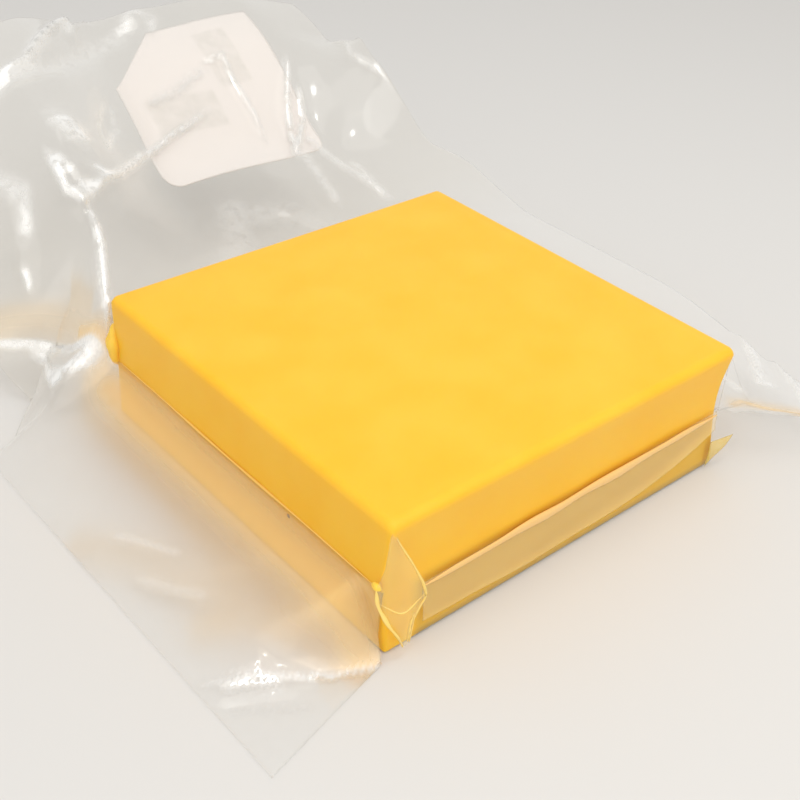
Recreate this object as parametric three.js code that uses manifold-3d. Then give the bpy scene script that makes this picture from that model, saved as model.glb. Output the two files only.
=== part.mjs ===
// A block of cheddar sealed in a clear vacuum pouch, with a paper label under the pouch's tail.
//
// Millimetres, +Z up. The origin is the centre of the block's flat underside. The block's front face
// looks along -Y, and the pouch's loose tail runs out behind it, along +Y. The pouch clings to the
// block all round, so the two are one closed solid: the block, the double film that stands out from
// its sides at mid height, and the folds that the film makes at the block's corners.

import * as THREE from "three";
import { mergeVertices } from "three/addons/utils/BufferGeometryUtils.js";
import Module from "manifold-3d";

const wasm = await Module();
wasm.setup();

// The block: a flat square of cheese whose sides the vacuum draws in a little at mid height.
const BLOCK_SIDE = 112;
const BLOCK_HEIGHT = 36;
const UPRIGHT_RADIUS = 1.8;
const TOP_RADIUS = 2.8;
const BOTTOM_RADIUS = 1.5;
const SIDE_PINCH = 1.3;
const HALF = BLOCK_SIDE / 2;

// The pouch, laid flat: two layers of film, wider than the block by a fin on either side.
const FILM = 0.8;
const FIN_WIDTH = 40;
const FLOOR_GAP = 0.05;
const SEAM_HEIGHT = 16.5;
const FRONT_LEFT_REACH = 11;
const FRONT_RIGHT_REACH = 25;
const FRONT_RIGHT_SAG = 8;
const ROOT_DEPTH = 6;
const WAVE_HEIGHT = 0.6;

// The left fin's drape beside the block, and the curve of the fins behind it.
const DRAPE_SHARE = 0.65;
const DRAPE_POWER = 1.6;
const FIN_CURVE = 1.3;
// The left fin's crease starts this far behind the block's near corner, and runs back by this much.
const CREASE_START = 2;
const CREASE_RUN = 13;

// The tail climbs from the block's back in arcs, each with its length and its slopes in degrees. On
// the left it climbs at once and bends over a crest, and on the right it lies low before it climbs.
const TAIL_LENGTH = 124;
const LEFT_TAIL = { root: 27, lengths: [8, 16, 24], slopes: [30, 40, 44, 30, -30] };
const RIGHT_TAIL = { root: SEAM_HEIGHT, lengths: [56, 14, 24], slopes: [14, 17, 44, 36, 8] };
const LEFT_DROP = 40;
const RIDGE_SHIFT = 13;
const RIGHT_LIFT = 20;
const RIGHT_FALL = 28;
const RIGHT_GATHER = 12;

// Folds: a web of film at each right corner, an ear at the near one, and the seal folded down in
// front.
const WEB_THICKNESS = 1.4;
const WEBS = [
  { sx: 1, sy: 1, turn: 48, reach: 26, height: 9 },
  { sx: 1, sy: -1, turn: -4, reach: 21, height: 17 },
];
const WEB_CURVE = 1.4;
const EAR_REACH = 8;
const EAR_TURN = -28;
const EAR_ROOT = { x: 1.5 - HALF, y: 1.2 - HALF };
const SEAL_WIDTH = 11.8;
const SEAL_CLIMB = { start: 5, height: 10 };
const SEAL_SLOPE = 0.02;
const SEAL_THICKNESS = 1.1;
const SEAL_ROLL = 1.2;
const SEAL_WAVE = { height: 0.5, length: 7 };

// The label, stuck to the underside of the tail. Its far left corner is turned under.
const LABEL_WIDTH = 60;
const LABEL_LENGTH = 58;
const LABEL_START = 55;
const LABEL_LEFT = -5;
const LABEL_CORNER = 5;
const LABEL_FOLD = 22;
const LABEL_THICKNESS = 0.5;
const LABEL_GAP = 0.45;

const CHEESE = { color: 0xf3bd55, roughness: 0.35, metalness: 0 };
const PAPER = { color: 0xf1efed, roughness: 0.8, metalness: 0 };

const radians = THREE.MathUtils.degToRad;
const { clamp, smoothstep, lerp } = THREE.MathUtils;

// A closed plate over a grid of columns and rows. place(u, v) gives a point of its middle surface and
// thickness is measured square to that surface, with both faces split into triangles alike.
function plate(columns, rows, thickness, place) {
  const across = columns.length - 1;
  const along = rows.length - 1;
  const step = 1e-3;
  const positions = [];
  for (const side of [1, -1])
    for (const v of rows)
      for (const u of columns) {
        const point = place(u, v);
        const alongU = place(u + step, v).sub(place(u - step, v));
        const alongV = place(u, v + step).sub(place(u, v - step));
        const normal = alongU.cross(alongV).normalize();
        point.addScaledVector(normal, (side * thickness) / 2);
        positions.push(point.x, point.y, Math.max(point.z, FLOOR_GAP));
      }
  const layer = (across + 1) * (along + 1);
  const at = (i, j, side) => side * layer + j * (across + 1) + i;
  const index = [];
  const quad = (a, b, c, d) => index.push(a, b, c, a, c, d);
  for (let j = 0; j < along; j++)
    for (let i = 0; i < across; i++) {
      quad(at(i, j, 0), at(i + 1, j, 0), at(i + 1, j + 1, 0), at(i, j + 1, 0));
      index.push(at(i, j, 1), at(i + 1, j + 1, 1), at(i + 1, j, 1));
      index.push(at(i, j, 1), at(i, j + 1, 1), at(i + 1, j + 1, 1));
    }
  for (let i = 0; i < across; i++) {
    quad(at(i, 0, 1), at(i + 1, 0, 1), at(i + 1, 0, 0), at(i, 0, 0));
    quad(at(i, along, 0), at(i + 1, along, 0), at(i + 1, along, 1), at(i, along, 1));
  }
  for (let j = 0; j < along; j++) {
    quad(at(0, j, 0), at(0, j + 1, 0), at(0, j + 1, 1), at(0, j, 1));
    quad(at(across, j, 1), at(across, j + 1, 1), at(across, j + 1, 0), at(across, j, 0));
  }
  return geometryFrom(positions, index);
}

function geometryFrom(positions, index) {
  const geometry = new THREE.BufferGeometry();
  geometry.setAttribute("position", new THREE.Float32BufferAttribute(positions, 3));
  geometry.setIndex(index);
  return geometry;
}

// Evenly spaced values from a to b.
function spread(a, b, count) {
  return Array.from({ length: count + 1 }, (_, i) => lerp(a, b, i / count));
}

// The block, lofted through rounded squares. Each level has a height and a distance that its
// outline is drawn in from the block's side.
function blockGeometry() {
  const levels = [];
  for (const turn of spread(0, 90, 4))
    levels.push({
      z: BOTTOM_RADIUS * (1 - Math.cos(radians(turn))),
      inset: BOTTOM_RADIUS * (1 - Math.sin(radians(turn))),
    });
  const low = BOTTOM_RADIUS;
  const high = BLOCK_HEIGHT - TOP_RADIUS;
  for (const z of spread(low, high, 6).slice(1, -1))
    levels.push({ z, inset: SIDE_PINCH * Math.sin((Math.PI * (z - low)) / (high - low)) });
  for (const turn of spread(0, 90, 5))
    levels.push({
      z: high + TOP_RADIUS * Math.sin(radians(turn)),
      inset: TOP_RADIUS * (1 - Math.cos(radians(turn))),
    });

  const positions = [];
  const index = [];
  const corners = [[1, -1, -90], [1, 1, 0], [-1, 1, 90], [-1, -1, 180]];
  const arcSteps = 6;
  const ring = corners.length * (arcSteps + 1);
  for (const { z, inset } of levels) {
    const radius = Math.max(UPRIGHT_RADIUS - inset / 2, 1);
    const centre = HALF - inset - radius;
    for (const [sx, sy, start] of corners)
      for (const turn of spread(start, start + 90, arcSteps)) {
        const x = sx * centre + radius * Math.cos(radians(turn));
        const y = sy * centre + radius * Math.sin(radians(turn));
        positions.push(x, y, z);
      }
  }
  for (let level = 0; level + 1 < levels.length; level++)
    for (let i = 0; i < ring; i++) {
      const a = level * ring + i;
      const b = level * ring + ((i + 1) % ring);
      index.push(a, b, b + ring, a, b + ring, a + ring);
    }
  const bottom = positions.length / 3;
  positions.push(0, 0, 0, 0, 0, BLOCK_HEIGHT);
  const last = (levels.length - 1) * ring;
  for (let i = 0; i < ring; i++) {
    const next = (i + 1) % ring;
    index.push(bottom, next, i);
    index.push(bottom + 1, last + i, last + next);
  }
  return geometryFrom(positions, index);
}

// How far out behind the block, and how high, the tail is at a distance along it. leftness is 1 on
// the block's left side and 0 over its right half.
function tailPath(distance, leftness) {
  const mix = (right, left) => lerp(right, left, leftness);
  const slopes = RIGHT_TAIL.slopes.map((slope, i) => radians(mix(slope, LEFT_TAIL.slopes[i])));
  const lengths = RIGHT_TAIL.lengths.map((length, i) => mix(length, LEFT_TAIL.lengths[i]));
  lengths.push(TAIL_LENGTH - lengths.reduce((sum, length) => sum + length, 0));
  const root = lerp(SEAM_HEIGHT, mix(RIGHT_TAIL.root, LEFT_TAIL.root), smoothstep(distance, -3, 6));
  if (distance <= 0) return { out: distance, height: root };
  let out = 0;
  let height = root;
  let left = distance;
  for (let i = 0; i < lengths.length && left > 0; i++) {
    const run = i === lengths.length - 1 ? left : Math.min(left, lengths[i]);
    const bend = (slopes[i + 1] - slopes[i]) / lengths[i];
    const end = slopes[i] + bend * run;
    out += (Math.sin(end) - Math.sin(slopes[i])) / bend;
    height += (Math.cos(slopes[i]) - Math.cos(end)) / bend;
    left -= run;
  }
  return { out, height };
}

// A point of the film's middle surface, with the slack film's long waves. across is the distance from
// the block's centre line and along the distance from its middle, both measured on the film.
function filmPoint(across, along) {
  const point = stretched(across, along);
  const slack = smoothstep(along, HALF, HALF + 60);
  point.z += WAVE_HEIGHT * slack * Math.sin(across / 11 + along / 17);
  return point;
}

function stretched(across, along) {
  const tail = along - HALF;
  const side = clamp(across, -HALF, HALF);
  const { out, height } = tailPath(tail, 1 - smoothstep(side, -HALF, 0));
  const y = HALF + out;
  const ridge = RIDGE_SHIFT * smoothstep(tail, 0, 45);
  if (across < ridge - HALF) return leftFin(across, along, ridge, y, height);
  if (across <= HALF) return new THREE.Vector3(across, y, height);

  const share = (across - HALF) / FIN_WIDTH;
  const behind = RIGHT_LIFT * smoothstep(tail, 40, 60) - RIGHT_FALL * smoothstep(tail, 65, 105);
  const rise = behind - FRONT_RIGHT_SAG * smoothstep(-along, 0, HALF);
  const reach = Math.sqrt(FIN_WIDTH ** 2 - rise ** 2) - RIGHT_GATHER * smoothstep(tail, 25, 55);
  return new THREE.Vector3(HALF + reach * share, y, height + rise * share ** FIN_CURVE);
}

// The left fin hangs from its root to the floor beside the block. Behind the block its root runs in
// along a ridge, and it falls steeply from there.
function leftFin(across, along, ridge, y, height) {
  const width = FIN_WIDTH + ridge;
  const share = (ridge - HALF - across) / width;
  const lift = smoothstep(along - HALF, 2, 30);
  const lowest = FLOOR_GAP + FILM / 2;
  const drop = Math.min(height - lowest, lerp(height - lowest, LEFT_DROP, lift));
  const reach = Math.sqrt(width ** 2 - drop ** 2);
  const hanging = 1 - (1 - Math.min(share, 1)) ** DRAPE_POWER;
  const draped = lerp(share, hanging, DRAPE_SHARE);
  const curve = Math.min(lerp(draped, share ** FIN_CURVE, lift), 1);
  const z = lerp(height - drop * curve, lowest, onFloor(share, along));
  return new THREE.Vector3(ridge - HALF - reach * share, y, z);
}

// How far the front left flap has come down to the floor, past the crease that runs out from the
// block's near corner.
function onFloor(share, along) {
  const crease = CREASE_START - HALF + CREASE_RUN * share;
  return smoothstep(crease - along, -8, 5);
}

// Where the film starts in front: inside the block between its corners, and past its front face on
// the fins, whose front corners are the pouch's own.
function filmFront(across) {
  const fin = Math.abs(across) - HALF;
  if (fin <= 0) return -HALF + ROOT_DEPTH;
  const reach = across < 0 ? FRONT_LEFT_REACH : FRONT_RIGHT_REACH;
  return lerp(-HALF - 1, -HALF - reach, Math.min(fin / FIN_WIDTH, 1));
}

function filmGeometry() {
  const fins = HALF + FIN_WIDTH;
  const columns = [
    ...spread(-fins, -HALF, 10),
    ...spread(-HALF, HALF, 16).slice(1, -1),
    ...spread(HALF, fins, 8),
  ];
  const beside = 22;
  const behind = 24;
  const rows = spread(0, 1, beside + behind);
  const share = beside / (beside + behind);
  return plate(columns, rows, FILM, (u, v) => {
    const front = filmFront(u);
    const along = v < share
      ? lerp(front, HALF, v / share)
      : HALF + (TAIL_LENGTH * (v - share)) / (1 - share);
    return filmPoint(u, along);
  });
}

// The pouch's sealed end, folded down over the lower half of the block's front face, with a roll of
// film along the fold. Its lower edge waves and climbs towards its right end.
function sealGeometry() {
  const columns = spread(-HALF + 3, HALF - 3, 24);
  const face = -HALF + SIDE_PINCH;
  const positions = [];
  const index = [];
  for (const x of columns) {
    const top = SEAM_HEIGHT + SEAL_SLOPE * x;
    const climb = SEAL_CLIMB.height * (Math.max(x - SEAL_CLIMB.start, 0) / HALF) ** 2;
    const wave = SEAL_WAVE.height * Math.sin(x / SEAL_WAVE.length);
    const foot = SEAM_HEIGHT - SEAL_WIDTH + climb + wave;
    const profile = [
      [face + 1, top],
      [face - 0.6 * SEAL_ROLL, top + 0.4],
      [face - SEAL_ROLL, top - 1.2],
      [face - SEAL_THICKNESS, top - 3.6],
      [face - SEAL_THICKNESS - SIDE_PINCH, foot],
      [face + 1 - SIDE_PINCH, foot],
    ];
    for (const [y, z] of profile) positions.push(x, y, z);
  }
  const n = positions.length / 3 / columns.length;
  for (let c = 0; c + 1 < columns.length; c++)
    for (let i = 0; i < n; i++) {
      const a = c * n + i;
      const b = c * n + ((i + 1) % n);
      index.push(a, b, b + n, a, b + n, a + n);
    }
  const end = (columns.length - 1) * n;
  for (let i = 1; i + 1 < n; i++) {
    index.push(0, i + 1, i);
    index.push(end, end + i, end + i + 1);
  }
  return geometryFrom(positions, index);
}

// A flat upright fold of film: an outline of distances out and heights, given some thickness and
// turned to face out of a corner.
function foldGeometry(outline, thickness, x, y, turn) {
  const shape = new THREE.Shape(outline.map(([out, z]) => new THREE.Vector2(out, z)));
  const geometry = new THREE.ExtrudeGeometry(shape, { depth: thickness, bevelEnabled: false });
  geometry.translate(0, 0, -thickness / 2);
  geometry.rotateX(Math.PI / 2);
  geometry.rotateZ(radians(turn));
  geometry.translate(x, y, 0);
  return geometry;
}

// The webs that the film draws out from the block's right corners: upright ridges that stand on the
// film and run down to nothing.
function webs() {
  const start = HALF - UPRIGHT_RADIUS;
  return WEBS.map(({ sx, sy, turn, reach, height }) =>
    plate(spread(0, reach, 10), [0, 1], WEB_THICKNESS, (u, v) => {
      const across = sx * start + u * Math.cos(radians(turn));
      const along = sy * start + u * Math.sin(radians(turn));
      const crest = height * Math.max(1 - u / reach, 0) ** WEB_CURVE + FILM / 2 + 0.1;
      const point = filmPoint(across, along);
      point.z += lerp(-FILM / 4, crest, v);
      return point;
    }),
  );
}

// The ear at the near corner: the film's end fold, laid round against the front face over the seal.
function ear() {
  const outline = [
    [0, 1],
    [EAR_REACH * 0.62, 1],
    [EAR_REACH * 0.66, 6.3],
    [EAR_REACH * 0.8, 10.5],
    [EAR_REACH, 15],
    [EAR_REACH * 0.85, 20.3],
    [EAR_REACH * 0.4, 26],
    [0, BLOCK_HEIGHT - 4],
  ];
  return foldGeometry(outline, WEB_THICKNESS, EAR_ROOT.x, EAR_ROOT.y, EAR_TURN);
}

// The label follows the tail's underside. Its near corners are round, and a fold cuts the far left.
function labelGeometry() {
  const columns = spread(0, LABEL_WIDTH, 14);
  const rows = spread(0, 1, 14);
  const below = -(FILM / 2 + LABEL_GAP + LABEL_THICKNESS / 2);
  const step = 1e-3;
  return plate(columns, rows, LABEL_THICKNESS, (u, v) => {
    const edge = Math.min(u, LABEL_WIDTH - u);
    const inCorner = Math.max(LABEL_CORNER - Math.max(edge, 0), 0);
    const round = LABEL_CORNER - Math.sqrt(Math.max(LABEL_CORNER ** 2 - inCorner ** 2, 0));
    const near = Math.min(round, LABEL_CORNER - 0.5);
    const far = LABEL_LENGTH - Math.max(LABEL_FOLD - Math.max(u, 0), 0);
    const along = HALF + LABEL_START + lerp(near, far, v);
    const across = LABEL_LEFT + u;
    const point = filmPoint(across, along);
    const alongU = filmPoint(across + step, along).sub(point);
    const alongV = filmPoint(across, along + step).sub(point);
    return point.addScaledVector(alongU.cross(alongV).normalize(), below);
  });
}

function solid(geometry) {
  const bare = geometry.clone();
  bare.deleteAttribute("normal");
  bare.deleteAttribute("uv");
  const merged = mergeVertices(bare, 1e-4);
  const mesh = new wasm.Mesh({
    numProp: 3,
    vertProperties: new Float32Array(merged.attributes.position.array),
    triVerts: new Uint32Array(merged.index.array),
  });
  return new wasm.Manifold(mesh);
}

function joined(geometries) {
  const mesh = geometries.map(solid).reduce((a, b) => a.add(b)).getMesh();
  const geometry = new THREE.BufferGeometry();
  geometry.setAttribute("position", new THREE.BufferAttribute(mesh.vertProperties, mesh.numProp));
  geometry.setIndex(new THREE.BufferAttribute(mesh.triVerts, 1));
  geometry.computeVertexNormals();
  return geometry;
}

function named(name, geometry, finish) {
  const mesh = new THREE.Mesh(geometry, new THREE.MeshStandardMaterial(finish));
  mesh.name = name;
  return mesh;
}

const pouch = joined([blockGeometry(), filmGeometry(), sealGeometry(), ear(), ...webs()]);
const label = joined([labelGeometry()]);

const part = new THREE.Group();
part.add(named("vacuum_pouch", pouch, CHEESE));
part.add(named("price_label", label, PAPER));

export default part;
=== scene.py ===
"""A block of cheddar in its clear vacuum pouch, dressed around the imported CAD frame.

The frame is in metres with +Z up, and its origin is the middle of the block's underside. The
block's front face looks along -Y and the pouch's loose tail runs out behind it, along +Y. Sizes in
the classes are millimetres, as they are in the part's own source.
"""

import logging
import math
from dataclasses import dataclass, field
from enum import Enum
from typing import Callable

import bmesh
import bpy
from mathutils import Matrix, Vector


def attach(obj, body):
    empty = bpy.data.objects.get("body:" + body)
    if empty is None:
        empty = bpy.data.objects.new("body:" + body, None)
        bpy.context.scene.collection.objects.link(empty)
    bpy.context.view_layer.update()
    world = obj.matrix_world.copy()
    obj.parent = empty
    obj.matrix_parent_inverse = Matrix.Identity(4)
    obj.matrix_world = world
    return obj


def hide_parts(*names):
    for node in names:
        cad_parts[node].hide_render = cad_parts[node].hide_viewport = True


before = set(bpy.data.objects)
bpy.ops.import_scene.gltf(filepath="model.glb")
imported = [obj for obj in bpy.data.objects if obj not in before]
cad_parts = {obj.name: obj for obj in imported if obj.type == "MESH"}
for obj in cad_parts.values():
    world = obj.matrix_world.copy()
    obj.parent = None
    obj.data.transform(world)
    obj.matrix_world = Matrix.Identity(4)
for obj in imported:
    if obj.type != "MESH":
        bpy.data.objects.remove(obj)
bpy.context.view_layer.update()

LOG = logging.getLogger("cheddar_block")
MM = 0.001
BLOCK_SIDE = 112.0
BLOCK_HEIGHT = 36.0
HALF = BLOCK_SIDE / 2
SIDE_PINCH = 1.3
SEAM_HEIGHT = 16.5
POUCH = "vacuum_pouch"
LABEL = "price_label"
CLEAR = (1.0, 1.0, 1.0, 1.0)


class Slot(Enum):
    """The record's material slots."""

    CHEESE = "cheese"
    FILM = "clear_film"
    PAPER = "label_paper"


class Mask(Enum):
    """The loose film's own attributes, which its finish reads."""

    MARKS = "Marks"
    OIL = "Oil"


class Fold(Enum):
    """How a crease's lift falls off to its sides."""

    SOFT = "soft"
    SHARP = "sharp"


def lerp(a: float, b: float, share: float) -> float:
    """Returns the value a share of the way from a to b."""
    return a + (b - a) * share


def clamp(value: float, low: float, high: float) -> float:
    """Returns the value held between low and high."""
    return max(low, min(high, value))


def smoothstep(value: float, low: float, high: float) -> float:
    """Returns 0 below low, 1 above high and a smooth step between them."""
    share = clamp((value - low) / (high - low), 0.0, 1.0)
    return share * share * (3 - 2 * share)


def srgb(red: int, green: int, blue: int) -> tuple[float, float, float, float]:
    """Returns a colour given in sRGB steps of 255 as linear RGBA.

    Args:
        red: the red step.
        green: the green step.
        blue: the blue step.

    Returns:
        Linear red, green, blue and an alpha of 1.
    """
    linear = []
    for step in (red, green, blue):
        c = step / 255
        linear.append(c / 12.92 if c <= 0.04045 else ((c + 0.055) / 1.055) ** 2.4)
    return (*linear, 1.0)


class Nodes:
    """A short way to write a material's or a group's node tree."""

    def __init__(self, tree: bpy.types.NodeTree) -> None:
        """Takes the tree to write in."""
        self.tree = tree

    def add(self, kind: str, settings: dict | None = None, **sockets: object) -> bpy.types.Node:
        """Adds a node.

        Args:
            kind: the node's type, without its ShaderNode prefix.
            settings: values of the node's own properties.
            **sockets: input values or the outputs that feed them, by socket name with underscores
                for spaces, or by number after a leading underscore.

        Returns:
            The new node.
        """
        node = self.tree.nodes.new("ShaderNode" + kind)
        for name, value in (settings or {}).items():
            setattr(node, name, value)
        for name, value in sockets.items():
            key = int(name[1:]) if name[0] == "_" else name.replace("_", " ")
            self.feed(node.inputs[key], value)
        return node

    def feed(self, socket: bpy.types.NodeSocket, value: object) -> None:
        """Sets an input to a value or links it to an output."""
        if isinstance(value, bpy.types.NodeSocket):
            self.tree.links.new(value, socket)
        else:
            socket.default_value = value

    def maths(self, operation: str, first: object, second: object = 0.0) -> bpy.types.NodeSocket:
        """Adds a Math node and returns its output."""
        node = self.add("Math", {"operation": operation}, _0=first, _1=second)
        return node.outputs[0]

    def noise(self, vector: object, scale: float, detail: float) -> bpy.types.NodeSocket:
        """Adds a noise texture and returns its value."""
        node = self.add("TexNoise", Vector=vector, Scale=scale, Detail=detail)
        return node.outputs["Fac"]

    def spread(self, value: object, low: float, high: float) -> bpy.types.NodeSocket:
        """Returns a value's range from low to high opened out to 0 to 1."""
        node = self.add("MapRange", Value=value, From_Min=low, From_Max=high)
        return node.outputs["Result"]

    def blend(self, share: object, first: object, second: object) -> bpy.types.NodeSocket:
        """Returns the mix of two colours by a share."""
        node = self.add("Mix", {"data_type": "RGBA"}, _0=share, _6=first, _7=second)
        return node.outputs[2]


def fresh_material(name: str) -> tuple[bpy.types.Material, Nodes]:
    """Starts a material.

    Args:
        name: the material's name.

    Returns:
        The material and what writes in its empty node tree.
    """
    made = bpy.data.materials.new(name)
    made.use_nodes = True
    made.node_tree.nodes.clear()
    return made, Nodes(made.node_tree)


def in_scene(name: str, data: bpy.types.ID) -> bpy.types.Object:
    """Makes an object of its data and puts it in the scene."""
    made = bpy.data.objects.new(name, data)
    bpy.context.scene.collection.objects.link(made)
    return made


def wrinkle_group() -> bpy.types.NodeTree:
    """Builds the group that gives film its fine wrinkles and its cloudy patches.

    Returns:
        A node group with a vector and the wrinkles' size and strength as inputs, and a normal and
        a cloud mask as outputs.
    """
    tree = bpy.data.node_groups.new("FilmWrinkles", "ShaderNodeTree")
    tree.interface.new_socket("Vector", in_out="INPUT", socket_type="NodeSocketVector")
    for name in ("Scale", "Strength"):
        tree.interface.new_socket(name, in_out="INPUT", socket_type="NodeSocketFloat")
    tree.interface.new_socket("Normal", in_out="OUTPUT", socket_type="NodeSocketVector")
    tree.interface.new_socket("Clouds", in_out="OUTPUT", socket_type="NodeSocketFloat")
    n = Nodes(tree)
    given = tree.nodes.new("NodeGroupInput").outputs
    handed = tree.nodes.new("NodeGroupOutput").inputs
    scaled = n.add("VectorMath", {"operation": "SCALE"}, Vector=given["Vector"], Scale=given["Scale"])
    pull = n.add("TexNoise", Vector=scaled.outputs[0], Scale=0.6, Detail=1.0)
    bent = n.add("VectorMath", {"operation": "ADD"}, _0=scaled.outputs[0], _1=pull.outputs["Color"])
    creases = n.add("TexNoise", {"noise_type": "RIDGED_MULTIFRACTAL", "normalize": False},
                    Vector=bent.outputs[0], Scale=1.0, Detail=2.0)
    soft = n.noise(scaled.outputs[0], 0.35, 1.0)
    sharp = n.maths("MULTIPLY", creases.outputs["Fac"], 0.35)
    height = n.maths("ADD", sharp, n.maths("MULTIPLY", soft, 2.0))
    bump = n.add("Bump", Strength=given["Strength"], Distance=0.002, Height=height)
    n.feed(handed["Normal"], bump.outputs["Normal"])
    n.feed(handed["Clouds"], n.spread(n.noise(scaled.outputs[0], 0.8, 3.0), 0.35, 0.7))
    return tree


@dataclass(frozen=True)
class FilmFinish:
    """A clear film: its haze and its mirror share at right angles, in one layer.

    Attributes:
        name: the material's name.
        haze: the share of light that its milkiness holds back.
        clouds: how much more haze its cloudy patches have.
        tint: the colour that it lets through.
        milk: the colour of its haze.
        mirror: the share that it mirrors head on.
        metallic: how much of its haze glints like a mirror instead of scattering.
        roughness: of its gloss.
        steep: the share that it mirrors at a glancing angle.
        wrinkle_scale: wrinkles a metre.
        wrinkle_strength: of their bump.
        shade: the darker tint of its cloudy patches.
        tail: the greyer tint of that part of it which lies behind the block, painted shade for the
            darker surroundings that the tail is seen against and mirrors.
        marked: whether the piece has its own masks: of whitened creases with painted highlights, and of
            cheese oil with a painted reflection of the cheese.
        mark_haze: the share of light that a whitened crease and a painted highlight hold back.
        haze_of_oil_and_reflection: the share that cheese oil and the painted reflection of the cheese
            hold back.
        blur_of_oil_and_reflection: how much rougher the oil and the painted reflection leave its gloss.
        faint_oil_and_reflection: the colour of a thin smear of oil and of a faint painted reflection of
            the cheese.
        dense_oil_and_reflection: the colour of a thick smear of oil and of a strong painted reflection
            of the cheese.
        mark_grain: how finely the whitened creases and painted highlights are broken up.
    """

    name: str
    haze: float = 0.03
    clouds: float = 0.02
    tint: tuple = (0.998, 0.997, 0.994, 1.0)
    milk: tuple = srgb(252, 251, 248)
    mirror: float = 0.05
    metallic: float = 0.6
    roughness: float = 0.12
    steep: float = 0.6
    wrinkle_scale: float = 60.0
    wrinkle_strength: float = 0.25
    shade: tuple = (0.995, 0.994, 0.99, 1.0)
    tail: tuple | None = None
    marked: bool = False
    mark_haze: float = 1.0
    haze_of_oil_and_reflection: float = 0.5
    blur_of_oil_and_reflection: float = 0.6
    faint_oil_and_reflection: tuple = srgb(255, 230, 190)
    dense_oil_and_reflection: tuple = srgb(255, 221, 156)
    mark_grain: float = 330.0

    def material(self, wrinkles: bpy.types.NodeTree) -> bpy.types.Material:
        """Builds the material.

        Args:
            wrinkles: the group from wrinkle_group.

        Returns:
            A see-through material with a glossy, slightly milky face.
        """
        made, n = fresh_material(self.name)
        place = n.add("TexCoord").outputs["Object"]
        group = n.add("Group", {"node_tree": wrinkles})
        n.feed(group.inputs["Vector"], place)
        n.feed(group.inputs["Scale"], self.wrinkle_scale)
        n.feed(group.inputs["Strength"], self.wrinkle_strength)
        normal = group.outputs["Normal"]
        facing = n.add("LayerWeight", Blend=0.5, Normal=normal).outputs["Facing"]
        steep = n.maths("MULTIPLY", n.maths("POWER", facing, 4.0), self.steep)
        haze = n.maths("MULTIPLY_ADD", group.outputs["Clouds"], self.clouds)
        haze.node.inputs[2].default_value = self.haze + self.mirror
        milk: object = self.milk
        rough: object = self.roughness
        if self.marked:
            # Painted light: the Marks mask whitens creases and paints highlights on the folds, and the
            # Oil mask paints cheese oil together with a reflection of the cheese's yellow.
            marks, oil = (n.add("Attribute", {"attribute_name": mask.value}).outputs["Fac"]
                          for mask in Mask)
            broken = n.spread(n.noise(place, self.mark_grain, 2.0), 0.2, 0.55)
            whitened = n.maths("MULTIPLY", marks, broken)
            haze = n.maths("ADD", haze, n.maths("MULTIPLY", whitened, self.mark_haze))
            haze = n.maths("ADD", haze, n.maths("MULTIPLY", oil, self.haze_of_oil_and_reflection))
            oily = n.blend(n.spread(oil, 0.1, 0.7), self.faint_oil_and_reflection, self.dense_oil_and_reflection)
            shown = n.maths("MULTIPLY", n.spread(oil, 0.0, 0.15), n.spread(marks, 0.3, 0.0))
            milk = n.blend(shown, milk, oily)
            rough = n.maths("MULTIPLY_ADD", oil, self.blur_of_oil_and_reflection)
            rough.node.inputs[2].default_value = self.roughness
        share = n.maths("ADD", steep, haze)
        share.node.use_clamp = True
        passed = n.blend(group.outputs["Clouds"], self.tint, self.shade)
        # Painted shade: the film behind the block passes a greyer tint, for the darker surroundings that
        # the tail is seen against and mirrors.
        if self.tail:
            back = n.add("SeparateXYZ", Vector=place).outputs["Y"]
            behind = n.spread(back, HALF * MM, 1.5 * HALF * MM)
            passed = n.blend(behind, passed, self.tail)
        clear = n.add("BsdfTransparent", Color=passed)
        face = n.add("BsdfPrincipled", Base_Color=milk, Metallic=self.metallic,
                     Roughness=rough, Normal=normal)
        mixed = n.add("MixShader", Fac=share, _1=clear.outputs[0], _2=face.outputs[0])
        n.add("OutputMaterial", Surface=mixed.outputs[0])
        return made


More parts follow.
